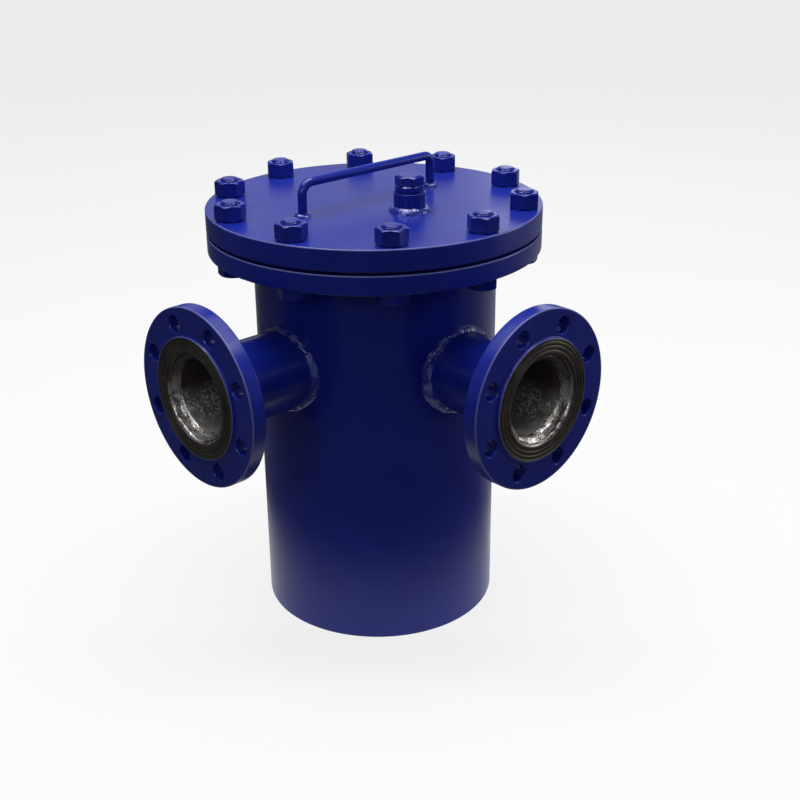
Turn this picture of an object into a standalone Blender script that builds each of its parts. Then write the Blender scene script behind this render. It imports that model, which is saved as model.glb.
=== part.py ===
"""Welded basket strainer: a flat-bottomed pipe body with a bolted lift-off cover, a flanged inlet and
outlet at right angles, and a perforated basket on an inner seat. Metres, +Z up. The origin is the centre
of the base, the outlet points along +X and the inlet along -Y."""

import math

import bmesh
import bpy
from mathutils import Quaternion, Vector

MM = 0.001
GAP = 0.3 * MM  # between pieces that touch
OVERRUN = 5 * MM  # of a cutter past the face that it cuts through
ROUND = 64  # sides of a large turned piece
SMALL_ROUND = 32
VENT_ROUND = 24
FASTENER_ROUND = 12

# Driving dimensions
BODY_R = 136.5 * MM
BODY_WALL = 7 * MM
COVER_TOP = 481 * MM
COVER_THICK = 24 * MM
FLANGE_SPACE = 3 * MM
BODY_FLANGE_THICK = 21 * MM
COVER_R = 186 * MM
BOLT_CIRCLE_R = 166 * MM
BOLT_COUNT = 10
BOLT_R = 10 * MM
BOLT_HOLE_R = 11 * MM
BOTTOM_THICK = 12 * MM
WELD_LEG = 5 * MM
WELD_THROAT = 0.55  # of the leg, both ways, to the middle of the bead
SHELL_SETBACK = 4 * MM  # of the shell's rim below the flange's face
GASKET_INSET = 1.5 * MM  # of the gasket's edge from the bore

# Fasteners
HEX_FLATS = 30 * MM
BOLT_HEAD_HIGH = 12.5 * MM
NUT_HIGH = 17 * MM
BOLT_END_ABOVE_COVER = 20.5 * MM
BOLT_POINT = 1.8 * MM
NUT_BORE_R = 10.5 * MM
HEX_CHAMFER_SHARE = 0.96  # of the flats, where the end chamfer starts
HEX_CHAMFER_ANGLE = math.radians(30)
NUT_TURNS = (58, 42, 33, 44, 57, 54, 22, 34, 28, 14)  # degrees, as each nut stopped when tightened

# Nozzles
NOZZLE_HEIGHT = 319 * MM
NOZZLE_REACH = 255 * MM  # body axis to flange face
NOZZLE_R = 44.5 * MM
NOZZLE_WALL = 4 * MM
NOZZLE_FLANGE_R = 97.5 * MM
NOZZLE_FLANGE_THICK = 17 * MM
RAISED_FACE_R = 66.5 * MM
RAISED_FACE_HIGH = 3 * MM
NOZZLE_HOLE_CIRCLE_R = 80 * MM
NOZZLE_HOLE_R = 9 * MM
NOZZLE_HOLE_COUNT = 8
BORE_MOUTH_R = 49 * MM
PIPE_SETBACK = 6 * MM  # from the raised face to the pipe's end
PIPE_START = 90 * MM  # along the nozzle's axis, inside the body wall
NOZZLE_BEAD_R = 3.4 * MM

# Cover handle, over the body axis
HANDLE_X = -4 * MM
HANDLE_Y = -4 * MM
HANDLE_HALF_SPAN = 94 * MM
HANDLE_RISE = 36 * MM
HANDLE_ROD_R = 5 * MM
HANDLE_BENDS = (13 * MM, 8 * MM)  # at the front and the back
HANDLE_WELD_LEG = 4 * MM

# Vent
VENT_X = 57 * MM
VENT_BORE_R = 12 * MM
BOSS_R = 17.2 * MM
BOSS_BORE_R = 13.3 * MM
BOSS_HIGH = 21 * MM
WASHER_THICK = 1.5 * MM
PLUG_THREAD_R = 12.9 * MM
PLUG_THREAD_LONG = 22 * MM
PLUG_COLLAR_R = 15.5 * MM
PLUG_COLLAR_HIGH = 6 * MM
PLUG_FLATS = 28 * MM
PLUG_HEAD_HIGH = 10.7 * MM
PLUG_CHAMFER = 1 * MM
PLUG_TURN = math.radians(7)

# Basket and its seat
BASKET_X = -33 * MM
BASKET_R = 76 * MM
SCREEN_THICK = 1.5 * MM
SEAT_LOW = 256 * MM
SEAT_THICK = 6 * MM
SEAT_HOLE_R = 79 * MM
SEAT_LEDGE = 12 * MM  # left outside the slot under the riser
RIM_R = 88 * MM
RIM_THICK = 4 * MM
BASKET_LOW = 42 * MM
SCREEN_CELLS_ROUND = 28
SCREEN_CELLS_HIGH = 15
FLOOR_THICK = 2 * MM
FLOOR_HOLE_R = 6 * MM
FLOOR_HOLE_PITCH = 24 * MM
LUG_Y = 81 * MM
LUG_THICK = 3 * MM
LUG_WIDE = 13 * MM
LUG_HIGH = 14 * MM
LUG_EYE_R = 3.5 * MM
BAIL_R = 73 * MM
BAIL_ROD_R = 3 * MM
BAIL_PIN_END = 87 * MM

# Riser that joins the space below the seat to the outlet
RISER_X = 68 * MM
RISER_HALF_WIDE = 58 * MM
RISER_TOP = 376 * MM
RISER_WALL = 5 * MM

# Heights that follow
COVER_LOW = COVER_TOP - COVER_THICK
FLANGE_TOP = COVER_LOW - FLANGE_SPACE
FLANGE_LOW = FLANGE_TOP - BODY_FLANGE_THICK
BODY_BORE_R = BODY_R - BODY_WALL
FIT_R = BODY_BORE_R - GAP
SEAT_TOP = SEAT_LOW + SEAT_THICK
RIM_LOW = SEAT_TOP + GAP
RIM_TOP = RIM_LOW + RIM_THICK
LUG_LOW = RIM_TOP + GAP
PIVOT_Z = LUG_LOW + LUG_HIGH / 2
NOZZLE_TURNS = {"outlet": (0, math.pi / 2, 0), "inlet": (math.pi / 2, 0, 0)}


def clear_scene():
    for obj in list(bpy.data.objects):
        bpy.data.objects.remove(obj, do_unlink=True)


def new_collection(name):
    made = bpy.data.collections.new(name)
    bpy.context.scene.collection.children.link(made)
    return made


clear_scene()
PARTS = new_collection("basket_strainer")
CUTTERS = new_collection("cutters")


# Materials


def principled(name, colour, roughness, metallic):
    material = bpy.data.materials.new(name)
    material.use_nodes = True
    shader = material.node_tree.nodes["Principled BSDF"]
    shader.inputs["Base Color"].default_value = (*colour, 1)
    shader.inputs["Roughness"].default_value = roughness
    shader.inputs["Metallic"].default_value = metallic
    material.diffuse_color = (*colour, 1)
    return material


def blue_enamel(name):
    return principled(f"{name} blue enamel", (0.022, 0.028, 0.24), 0.28, 0)


def bare_steel(name):
    return principled(f"{name} bare steel", (0.17, 0.16, 0.14), 0.45, 1)


def stainless(name):
    return principled(f"{name} stainless", (0.55, 0.55, 0.53), 0.3, 1)


def gasket_sheet(name):
    return principled(f"{name} gasket sheet", (0.05, 0.05, 0.05), 0.8, 0)


# Shapes


def keep(obj, name, material, smooth_under=35):
    """Makes obj a sub-part: named, coloured, smooth where it is round, and in the parts collection."""
    obj.name = name
    obj.data.name = name
    for collection in list(obj.users_collection):
        collection.objects.unlink(obj)
    PARTS.objects.link(obj)
    obj.data.materials.clear()
    obj.data.materials.append(material(name))
    settle(obj, smooth_under)
    return obj


def settle(obj, smooth_under):
    """Applies the modifiers, then shades the mesh smooth except across its real edges."""
    bpy.context.view_layer.update()
    graph = bpy.context.evaluated_depsgraph_get()
    mesh = bpy.data.meshes.new_from_object(obj.evaluated_get(graph))
    mesh.name = obj.name
    obj.modifiers.clear()
    obj.data = mesh
    mesh.shade_smooth()
    mesh.set_sharp_from_angle(angle=math.radians(smooth_under))


def helper(obj):
    """Makes obj a cutter or guide that is never part of the model."""
    for collection in list(obj.users_collection):
        collection.objects.unlink(obj)
    CUTTERS.objects.link(obj)
    obj.hide_render = True
    obj.display_type = "WIRE"
    return obj


def object_of(mesh, location=(0, 0, 0), rotation=(0, 0, 0)):
    obj = bpy.data.objects.new(mesh.name, mesh)
    PARTS.objects.link(obj)
    obj.location = location
    obj.rotation_euler = rotation
    return obj


def cylinders(spots, radius, low, high, sides, location=(0, 0, 0), rotation=(0, 0, 0)):
    """One object of upright cylinders in its own frame, one at each (x, y) spot."""
    work = bmesh.new()
    for x, y in spots:
        made = bmesh.ops.create_cone(
            work, cap_ends=True, segments=sides, radius1=radius, radius2=radius, depth=high - low
        )
        bmesh.ops.translate(work, verts=made["verts"], vec=(x, y, (low + high) / 2))
    mesh = bpy.data.meshes.new("cylinders")
    work.to_mesh(mesh)
    work.free()
    return object_of(mesh, location, rotation)


def cylinder(radius, low, high, sides=ROUND, location=(0, 0, 0), rotation=(0, 0, 0)):
    return cylinders([(0, 0)], radius, low, high, sides, location, rotation)


def box(low, high):
    work = bmesh.new()
    bmesh.ops.create_cube(work, size=1)
    size = Vector(high) - Vector(low)
    bmesh.ops.scale(work, verts=work.verts, vec=size)
    bmesh.ops.translate(work, verts=work.verts, vec=(Vector(high) + Vector(low)) / 2)
    mesh = bpy.data.meshes.new("box")
    work.to_mesh(mesh)
    work.free()
    return object_of(mesh)


def turned(profile, sides=ROUND, location=(0, 0, 0), rotation=(0, 0, 0)):
    """A closed (radius, height) outline, down its outer side first, swept once round."""
    mesh = bpy.data.meshes.new("turned")
    edges = [(i, (i + 1) % len(profile)) for i in range(len(profile))]
    if profile[0][0] == 0 and profile[-1][0] == 0:
        edges.pop()
    mesh.from_pydata([(radius, 0, height) for radius, height in profile], edges, [])
    obj = object_of(mesh, location, rotation)
    screw = obj.modifiers.new("Screw", "SCREW")
    screw.steps = sides
    screw.render_steps = sides
    screw.use_merge_vertices = True
    screw.merge_threshold = 0.00001
    return obj


def ring(outer, inner, low, high, sides=ROUND, location=(0, 0, 0), rotation=(0, 0, 0)):
    return turned([(outer, high), (outer, low), (inner, low), (inner, high)], sides, location, rotation)


def combine(obj, other, operation):
    modifier = obj.modifiers.new(operation.title(), "BOOLEAN")
    modifier.operation = operation
    modifier.object = helper(other)
    return obj


def cut(obj, *cutters):
    for cutter in cutters:
        combine(obj, cutter, "DIFFERENCE")
    return obj


def bolt_spots(radius, count, first=0.0):
    angles = [first + 2 * math.pi * i / count for i in range(count)]
    return [(radius * math.cos(a), radius * math.sin(a)) for a in angles]


def hexagon(flats, low, high, chamfer_low, chamfer_high, turn=0.0):
    """A hexagonal prism with its corners turned off at either end."""
    corner = flats / math.sqrt(3)
    face = flats / 2 * HEX_CHAMFER_SHARE
    drop = (corner - face) * math.tan(HEX_CHAMFER_ANGLE)
    outline = [(0, high)]
    outline += [(face, high), (corner, high - drop)] if chamfer_high else [(corner, high)]
    outline += [(corner, low + drop), (face, low)] if chamfer_low else [(corner, low)]
    outline += [(0, low)]
    prism = cylinder(corner, low, high, 6)
    prism.rotation_euler.z = turn
    return combine(prism, turned(outline, FASTENER_ROUND), "INTERSECT")


def rounded_path(corners, bends, steps):
    """The corners of an open path, each inner one replaced by an arc of its own bend radius."""
    points = [Vector(corners[0])]
    for before, corner, after, bend in zip(corners, corners[1:], corners[2:], bends):
        corner = Vector(corner)
        back = (Vector(before) - corner).normalized()
        on = (Vector(after) - corner).normalized()
        half = back.angle(on) / 2
        centre = corner + (back + on).normalized() * bend / math.sin(half)
        start = corner + back * bend / math.tan(half) - centre
        end = corner + on * bend / math.tan(half) - centre
        swing = start.rotation_difference(end)
        turns = [Quaternion(swing.axis, swing.angle * i / steps) for i in range(steps + 1)]
        points += [centre + turn @ start for turn in turns]
    return points + [Vector(corners[-1])]


def rod(points, radius, resolution=3, closed=False, location=(0, 0, 0), rotation=(0, 0, 0)):
    """A round rod along points, as a mesh with its end caps welded on."""
    curve = bpy.data.curves.new("rod", "CURVE")
    curve.dimensions = "3D"
    curve.bevel_depth = radius
    curve.bevel_resolution = resolution
    curve.use_fill_caps = not closed
    spline = curve.splines.new("POLY")
    spline.points.add(len(points) - 1)
    for spot, point in zip(spline.points, points):
        spot.co = (*point, 1)
    spline.use_cyclic_u = closed
    wire = bpy.data.objects.new("rod", curve)
    PARTS.objects.link(wire)
    bpy.context.view_layer.update()
    graph = bpy.context.evaluated_depsgraph_get()
    mesh = bpy.data.meshes.new_from_object(wire.evaluated_get(graph))
    bpy.data.objects.remove(wire, do_unlink=True)
    work = bmesh.new()
    work.from_mesh(mesh)
    bmesh.ops.remove_doubles(work, verts=work.verts, dist=0.00001)
    bmesh.ops.recalc_face_normals(work, faces=work.faces)
    work.to_mesh(mesh)
    work.free()
    return object_of(mesh, location, rotation)


def fillet_weld(inner, low, sides, leg, location):
    """A ring of weld in the corner between an upright round face and the flat face below it."""
    throat = leg * WELD_THROAT
    outline = [(inner, low + leg), (inner + throat, low + throat), (inner + leg, low), (inner, low)]
    return turned(outline, sides, location)


# Body


def body_shell():
    shell = ring(BODY_R, BODY_BORE_R, 0, FLANGE_TOP - SHELL_SETBACK)
    end = BODY_R + OVERRUN
    for turn in NOZZLE_TURNS.values():
        cut(shell, cylinder(NOZZLE_R + GAP, PIPE_START, end, SMALL_ROUND, (0, 0, NOZZLE_HEIGHT), turn))
    keep(shell, "body_shell", blue_enamel)


def bottom_plate():
    keep(cylinder(FIT_R, 0, BOTTOM_THICK), "bottom_plate", blue_enamel)


def body_flange():
    flange = ring(COVER_R, BODY_R + GAP, FLANGE_LOW, FLANGE_TOP)
    spots = bolt_spots(BOLT_CIRCLE_R, BOLT_COUNT)
    low, high = FLANGE_LOW - OVERRUN, FLANGE_TOP + OVERRUN
    cut(flange, cylinders(spots, BOLT_HOLE_R, low, high, FASTENER_ROUND))
    keep(flange, "body_flange", blue_enamel)


def gasket():
    outer = BOLT_CIRCLE_R - BOLT_HOLE_R - GASKET_INSET
    sheet = ring(outer, BODY_R + GASKET_INSET, FLANGE_TOP + GAP, COVER_LOW - GAP, SMALL_ROUND)
    keep(sheet, "gasket", gasket_sheet)


# Cover


def cover_plate():
    plate = cylinder(COVER_R, COVER_LOW, COVER_TOP)
    spots = bolt_spots(BOLT_CIRCLE_R, BOLT_COUNT)
    low, high = COVER_LOW - OVERRUN, COVER_TOP + OVERRUN
    cut(
        plate,
        cylinders(spots, BOLT_HOLE_R, low, high, FASTENER_ROUND),
        cylinders([(VENT_X, 0)], VENT_BORE_R, low, high, FASTENER_ROUND),
    )
    keep(plate, "cover_plate", blue_enamel)


def cover_handle():
    foot = COVER_TOP + GAP
    corners = [
        (0, -HANDLE_HALF_SPAN, 0),
        (0, -HANDLE_HALF_SPAN, HANDLE_RISE - GAP),
        (0, HANDLE_HALF_SPAN, HANDLE_RISE - GAP),
        (0, HANDLE_HALF_SPAN, 0),
    ]
    bar = rod(rounded_path(corners, HANDLE_BENDS, 6), HANDLE_ROD_R, location=(HANDLE_X, HANDLE_Y, foot))
    keep(bar, "cover_handle", blue_enamel)
    for name, side in (("front", -1), ("back", 1)):
        spot = (HANDLE_X, HANDLE_Y + side * HANDLE_HALF_SPAN, foot)
        weld = fillet_weld(HANDLE_ROD_R + GAP, 0, FASTENER_ROUND, HANDLE_WELD_LEG, spot)
        keep(weld, f"handle_weld_{name}", blue_enamel)


def vent_boss():
    low = COVER_TOP + GAP
    at = (VENT_X, 0, 0)
    keep(ring(BOSS_R, BOSS_BORE_R, low, COVER_TOP + BOSS_HIGH, VENT_ROUND, at), "vent_boss", blue_enamel)
    keep(fillet_weld(BOSS_R + GAP, low, VENT_ROUND, WELD_LEG, at), "vent_boss_weld", blue_enamel)


def vent_plug():
    seat = COVER_TOP + BOSS_HIGH + GAP
    at = (VENT_X, 0, 0)
    washer = ring(PLUG_COLLAR_R, PLUG_THREAD_R + GAP, seat, seat + WASHER_THICK, VENT_ROUND, at)
    keep(washer, "vent_washer", blue_enamel)
    collar_low = seat + WASHER_THICK + GAP
    head_low = collar_low + PLUG_COLLAR_HIGH
    thread_end = collar_low - PLUG_THREAD_LONG
    outline = [
        (0, head_low),
        (PLUG_COLLAR_R - PLUG_CHAMFER, head_low),
        (PLUG_COLLAR_R, head_low - PLUG_CHAMFER),
        (PLUG_COLLAR_R, collar_low),
        (PLUG_THREAD_R, collar_low),
        (PLUG_THREAD_R, thread_end + PLUG_CHAMFER),
        (PLUG_THREAD_R - PLUG_CHAMFER, thread_end),
        (0, thread_end),
    ]
    plug = turned(outline, VENT_ROUND, at)
    head = hexagon(PLUG_FLATS, head_low - PLUG_CHAMFER, head_low + PLUG_HEAD_HIGH, False, True)
    settle(head, 35)
    head.rotation_euler.z = PLUG_TURN
    head.location = at
    keep(combine(plug, head, "UNION"), "vent_plug", blue_enamel)


# Nozzles


def nozzle(name, turn):
    at = (0, 0, NOZZLE_HEIGHT)
    bore = NOZZLE_R - NOZZLE_WALL
    pipe = ring(NOZZLE_R, bore, PIPE_START, NOZZLE_REACH - PIPE_SETBACK, SMALL_ROUND, at, turn)
    cut(pipe, cylinder(FIT_R, NOZZLE_HEIGHT - NOZZLE_R - OVERRUN, NOZZLE_HEIGHT + NOZZLE_R + OVERRUN))
    keep(pipe, f"nozzle_pipe_{name}", blue_enamel)
    nozzle_flange(name, turn, at)
    nozzle_weld(name, turn, at)


def nozzle_flange(name, turn, at):
    face = NOZZLE_REACH - RAISED_FACE_HIGH
    back = face - NOZZLE_FLANGE_THICK
    bore = NOZZLE_R + GAP
    outline = [
        (RAISED_FACE_R, NOZZLE_REACH),
        (RAISED_FACE_R, face),
        (NOZZLE_FLANGE_R, face),
        (NOZZLE_FLANGE_R, back),
        (bore, back),
        (bore, NOZZLE_REACH - (BORE_MOUTH_R - bore)),
        (BORE_MOUTH_R, NOZZLE_REACH),
    ]
    flange = turned(outline, ROUND, at, turn)
    half_pitch = math.pi / NOZZLE_HOLE_COUNT
    spots = bolt_spots(NOZZLE_HOLE_CIRCLE_R, NOZZLE_HOLE_COUNT, half_pitch)
    low, high = back - OVERRUN, face + OVERRUN
    cut(flange, cylinders(spots, NOZZLE_HOLE_R, low, high, FASTENER_ROUND, at, turn))
    keep(flange, f"nozzle_flange_{name}", blue_enamel)


def nozzle_weld(name, turn, at):
    """A bead round the pipe where it meets the body, lying in the corner between the two tubes."""
    round_pipe = NOZZLE_R + GAP + NOZZLE_BEAD_R
    round_body = BODY_R + GAP + NOZZLE_BEAD_R
    points = []
    for i in range(SMALL_ROUND):
        angle = 2 * math.pi * i / SMALL_ROUND
        # Rotation about the nozzle's axis leaves local X upright on the outlet and local Y on the inlet.
        x, y = round_pipe * math.cos(angle), round_pipe * math.sin(angle)
        across = y if name == "outlet" else x
        points.append((x, y, math.sqrt(round_body**2 - across**2)))
    keep(rod(points, NOZZLE_BEAD_R, 1, True, at, turn), f"nozzle_weld_{name}", blue_enamel, 80)


# Inside


def basket_seat_ring():
    seat = cylinder(FIT_R, SEAT_LOW, SEAT_TOP)
    low, high = SEAT_LOW - OVERRUN, SEAT_TOP + OVERRUN
    half = RISER_HALF_WIDE - RISER_WALL
    slot = box((RISER_X + RISER_WALL, -half, low), (FIT_R - SEAT_LEDGE, half, high))
    hole = cylinders([(BASKET_X, 0)], SEAT_HOLE_R, low, high, SMALL_ROUND)
    keep(cut(seat, hole, slot), "basket_seat_ring", bare_steel)


def outlet_riser():
    """A duct against the wall, open below, that brings strained water up to the outlet."""
    low = SEAT_TOP + GAP
    duct = box((RISER_X, -RISER_HALF_WIDE, low), (BODY_R, RISER_HALF_WIDE, RISER_TOP))
    hollow = box(
        (RISER_X + RISER_WALL, RISER_WALL - RISER_HALF_WIDE, low - OVERRUN),
        (BODY_R + OVERRUN, RISER_HALF_WIDE - RISER_WALL, RISER_TOP - RISER_WALL),
    )
    cut(duct, hollow)
    combine(duct, cylinder(FIT_R, SEAT_LOW, RISER_TOP + OVERRUN), "INTERSECT")
    keep(duct, "outlet_riser", bare_steel)


def basket_screen():
    """A sheet rolled into a tube, with staggered openings, thickened inwards."""
    work = bmesh.new()
    rows = []
    for j in range(SCREEN_CELLS_HIGH + 1):
        height = BASKET_LOW + (RIM_TOP - BASKET_LOW) * j / SCREEN_CELLS_HIGH
        spots = bolt_spots(BASKET_R, SCREEN_CELLS_ROUND)
        rows.append([work.verts.new((x, y, height)) for x, y in spots])
    for j, (lower, upper) in enumerate(zip(rows, rows[1:])):
        for i in range(SCREEN_CELLS_ROUND):
            opening = j % 2 == 1 and (i + j // 2) % 2 == 1
            if not opening:
                k = (i + 1) % SCREEN_CELLS_ROUND
                work.faces.new((lower[i], lower[k], upper[k], upper[i]))
    mesh = bpy.data.meshes.new("screen")
    work.to_mesh(mesh)
    work.free()
    sheet = object_of(mesh, (BASKET_X, 0, 0))
    solidify = sheet.modifiers.new("Solidify", "SOLIDIFY")
    solidify.thickness = SCREEN_THICK
    solidify.offset = -1
    keep(sheet, "basket_screen", stainless, 25)


def basket_floor():
    radius = BASKET_R - SCREEN_THICK - 2 * GAP
    floor = cylinder(radius, BASKET_LOW, BASKET_LOW + FLOOR_THICK, SCREEN_CELLS_ROUND, (BASKET_X, 0, 0))
    spots = [(0, 0)]
    for circle in (1, 2):
        spots += bolt_spots(FLOOR_HOLE_PITCH * circle, 6 * circle)
    low, high = BASKET_LOW - OVERRUN, BASKET_LOW + FLOOR_THICK + OVERRUN
    cut(floor, cylinders(spots, FLOOR_HOLE_R, low, high, 6, (BASKET_X, 0, 0)))
    keep(floor, "basket_floor", stainless)


def basket_rim():
    rim = ring(RIM_R, BASKET_R + GAP, RIM_LOW, RIM_TOP, SCREEN_CELLS_ROUND * 2, (BASKET_X, 0, 0))
    keep(rim, "basket_rim", stainless)
    for name, side in (("front", -1), ("back", 1)):
        at = Vector((BASKET_X, side * LUG_Y, PIVOT_Z))
        half = Vector((LUG_WIDE / 2, LUG_THICK / 2, LUG_HIGH / 2))
        lug = box(at - half, at + half)
        eye = cylinder(LUG_EYE_R, -OVERRUN, OVERRUN, FASTENER_ROUND, at, NOZZLE_TURNS["inlet"])
        keep(cut(lug, eye), f"basket_lug_{name}", stainless)


def basket_bail():
    """A wire arch on two pins, lying back so that its far end rests on the rim."""
    droop = math.asin((PIVOT_Z - RIM_TOP - BAIL_ROD_R - GAP) / BAIL_R)
    arch = [Vector((0, -BAIL_PIN_END, 0))]
    steps = 16
    for i in range(steps + 1):
        angle = math.pi * i / steps
        out = BAIL_R * math.sin(angle)
        arch.append(Vector((-out * math.cos(droop), -BAIL_R * math.cos(angle), -out * math.sin(droop))))
    arch.append(Vector((0, BAIL_PIN_END, 0)))
    keep(rod(arch, BAIL_ROD_R, 2, location=(BASKET_X, 0, PIVOT_Z)), "basket_bail", stainless, 50)


# Fasteners


def cover_fasteners():
    head_high = FLANGE_LOW - GAP
    head_low = head_high - BOLT_HEAD_HIGH
    inside_head = (head_low + head_high) / 2
    end = COVER_TOP + BOLT_END_ABOVE_COVER
    nut_low = COVER_TOP + GAP
    shank = [
        (0, end),
        (BOLT_R - BOLT_POINT, end),
        (BOLT_R, end - BOLT_POINT),
        (BOLT_R, inside_head),
        (0, inside_head),
    ]
    for i, (x, y) in enumerate(bolt_spots(BOLT_CIRCLE_R, BOLT_COUNT)):
        turn = math.radians(NUT_TURNS[i])
        bolt = turned(shank, FASTENER_ROUND)
        head = hexagon(HEX_FLATS, head_low, head_high, True, False, turn)
        combine(bolt, head, "UNION")
        bolt.location = (x, y, 0)
        head.location = (x, y, 0)
        head.modifiers[0].object.location = (x, y, 0)
        keep(bolt, f"cover_bolt_{i + 1:02d}", blue_enamel)
        nut = hexagon(HEX_FLATS, nut_low, nut_low + NUT_HIGH, False, True, turn)
        cut(nut, cylinder(NUT_BORE_R, nut_low - OVERRUN, nut_low + NUT_HIGH + OVERRUN, FASTENER_ROUND))
        for piece in (nut, *(modifier.object for modifier in nut.modifiers)):
            piece.location = (x, y, 0)
        keep(nut, f"cover_nut_{i + 1:02d}", blue_enamel)


body_shell()
bottom_plate()
body_flange()
gasket()
cover_plate()
cover_handle()
vent_boss()
vent_plug()
for nozzle_name, nozzle_turn in NOZZLE_TURNS.items():
    nozzle(nozzle_name, nozzle_turn)
basket_seat_ring()
outlet_riser()
basket_screen()
basket_floor()
basket_rim()
basket_bail()
cover_fasteners()
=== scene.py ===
import math

import bmesh
import bpy
import numpy as np
from mathutils import Matrix, Quaternion, Vector, noise


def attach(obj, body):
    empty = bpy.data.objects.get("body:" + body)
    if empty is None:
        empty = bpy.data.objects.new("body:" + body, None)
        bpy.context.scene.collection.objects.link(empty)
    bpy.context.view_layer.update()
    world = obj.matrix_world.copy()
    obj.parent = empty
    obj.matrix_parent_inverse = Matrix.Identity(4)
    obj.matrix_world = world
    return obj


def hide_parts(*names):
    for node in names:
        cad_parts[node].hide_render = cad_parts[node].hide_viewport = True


MM = 0.001
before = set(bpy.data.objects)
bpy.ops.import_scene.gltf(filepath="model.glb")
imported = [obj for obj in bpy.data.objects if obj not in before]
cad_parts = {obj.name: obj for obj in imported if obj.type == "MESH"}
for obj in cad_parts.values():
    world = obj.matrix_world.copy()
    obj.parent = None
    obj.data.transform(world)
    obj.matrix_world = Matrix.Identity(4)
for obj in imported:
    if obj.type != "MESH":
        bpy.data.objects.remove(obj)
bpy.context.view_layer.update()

# Dimensions, the same as the CAD part's

BODY_R = 136.5 * MM
BODY_BORE_R = 129.5 * MM
BODY_HIGH = 450 * MM
BOTTOM_R = 128.9 * MM
BOTTOM_THICK = 12 * MM
GASKET_R = 153.5 * MM
GASKET_BORE_R = 138 * MM
COVER_R = 186 * MM
COVER_LOW = 457 * MM
COVER_TOP = 481 * MM
FLANGE_LOW = 433 * MM
FLANGE_TOP = 454 * MM
BOLT_CIRCLE_R = 166 * MM
BOLT_COUNT = 10
BOLT_R = 10 * MM
BOLT_HOLE_R = 11 * MM
HEX_FLATS = 30 * MM
NUT_HIGH = 17 * MM
BOLT_HEAD_HIGH = 12.5 * MM
BOLT_END = 501.5 * MM
THREAD_START = 468 * MM
THREAD_PITCH = 2.5 * MM
THREAD_DEPTH = 1.1 * MM
NUT_TURNS = (58, 42, 33, 44, 57, 54, 22, 34, 28, 14)  # degrees
HEAD_TURN = 44  # degrees, of a bolt head past its nut
GAP = 0.3 * MM  # between pieces that touch on the real object

NOZZLE_HEIGHT = 319 * MM
NOZZLE_REACH = 255 * MM
NOZZLE_R = 44.5 * MM
NOZZLE_BORE_R = 40.5 * MM
NOZZLE_FLANGE_R = 97.5 * MM
NOZZLE_FLANGE_BACK = 235 * MM
NOZZLE_FLANGE_FACE = 252 * MM
RAISED_FACE_R = 66.5 * MM
BORE_MOUTH_R = 49 * MM
GROOVE_RADII = (63.4 * MM, 59.0 * MM, 54.2 * MM)  # sealing grooves in the raised face
NOZZLE_HOLE_CIRCLE_R = 80 * MM
NOZZLE_HOLE_R = 9 * MM
PIPE_END = 249 * MM
BORE_MOUTH_END = 243 * MM  # the ground weld's end on the pipe wall
PIPE_START = 119 * MM

HANDLE_X = -4 * MM
HANDLE_Y = -4 * MM
HANDLE_HALF_SPAN = 94 * MM
HANDLE_TOP = 517 * MM
HANDLE_ROD_R = 5 * MM
HANDLE_BENDS = (13 * MM, 8 * MM)  # front and back

VENT_X = 57 * MM
VENT_HOLE_R = 12 * MM  # in the cover
BOSS_R = 17.2 * MM
BOSS_BORE_R = 13.3 * MM
BOSS_TOP = 502 * MM
WASHER_BORE_R = 13.2 * MM
COLLAR_R = 15.5 * MM
COLLAR_LOW = 504.1 * MM
COLLAR_TOP = 510.1 * MM
PLUG_TOP = 520.8 * MM
PLUG_FLATS = 28 * MM
PLUG_THREAD_R = 12.9 * MM
PLUG_THREAD_END = 482.1 * MM

BASKET_X = -33 * MM
BASKET_R = 76 * MM
BASKET_LOW = 42 * MM
RIM_TOP = 266.3 * MM
RIM_LOW = 262.3 * MM
RIM_R = 88 * MM
SCREEN_THICK = 1.2 * MM
PIVOT_Z = 273.6 * MM
BAIL_R = 73 * MM
BAIL_ROD_R = 3 * MM
BAIL_PIN_END = 87 * MM

# Sizes that only this script has

FLANGE_WELD_LEG = 6 * MM
MOUTH_WELD_LEG = 3.4 * MM
HANDLE_WELD_LEG = 4.6 * MM
BOSS_WELD_LEG = 5.2 * MM
SADDLE_WELD_LEGS = {"outlet": 6.0 * MM, "inlet": 4.4 * MM}
NECK_WELD_LEG = 6.0 * MM
BOLT_HOLE_BEVEL = 0.8 * MM
VENT_HOLE_BEVEL = 0.5 * MM
NOZZLE_HOLE_BEVEL = 1.2 * MM
GROOVE_HALF = ((1.2 * MM, 0.0), (0.7 * MM, 0.25 * MM), (0.25 * MM, 0.7 * MM))  # (from the centre, down)
CELLS_ROUND = 64  # of the basket's holes, each in its own cell
CELLS_HIGH = 29
BASKET_HOLE_R = 2.5 * MM

# Edges with a painted highlight line, as (radius, height)

COVER_HIGHLIGHT_EDGES = ((COVER_R, COVER_TOP),)
FLANGE_HIGHLIGHT_EDGES = ((COVER_R, FLANGE_TOP),)
DISC_HIGHLIGHT_EDGES = ((NOZZLE_FLANGE_R, NOZZLE_FLANGE_FACE), (RAISED_FACE_R, NOZZLE_REACH))

# A nozzle's own frame: local Z runs out along the nozzle and local Y points up.
INLET = Matrix.Translation((0, 0, NOZZLE_HEIGHT)) @ Matrix.Rotation(math.pi / 2, 4, "X")
OUTLET = Matrix.Rotation(math.pi / 2, 4, "Z") @ INLET
NOZZLES = {"outlet": OUTLET, "inlet": INLET}


# Materials


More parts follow.
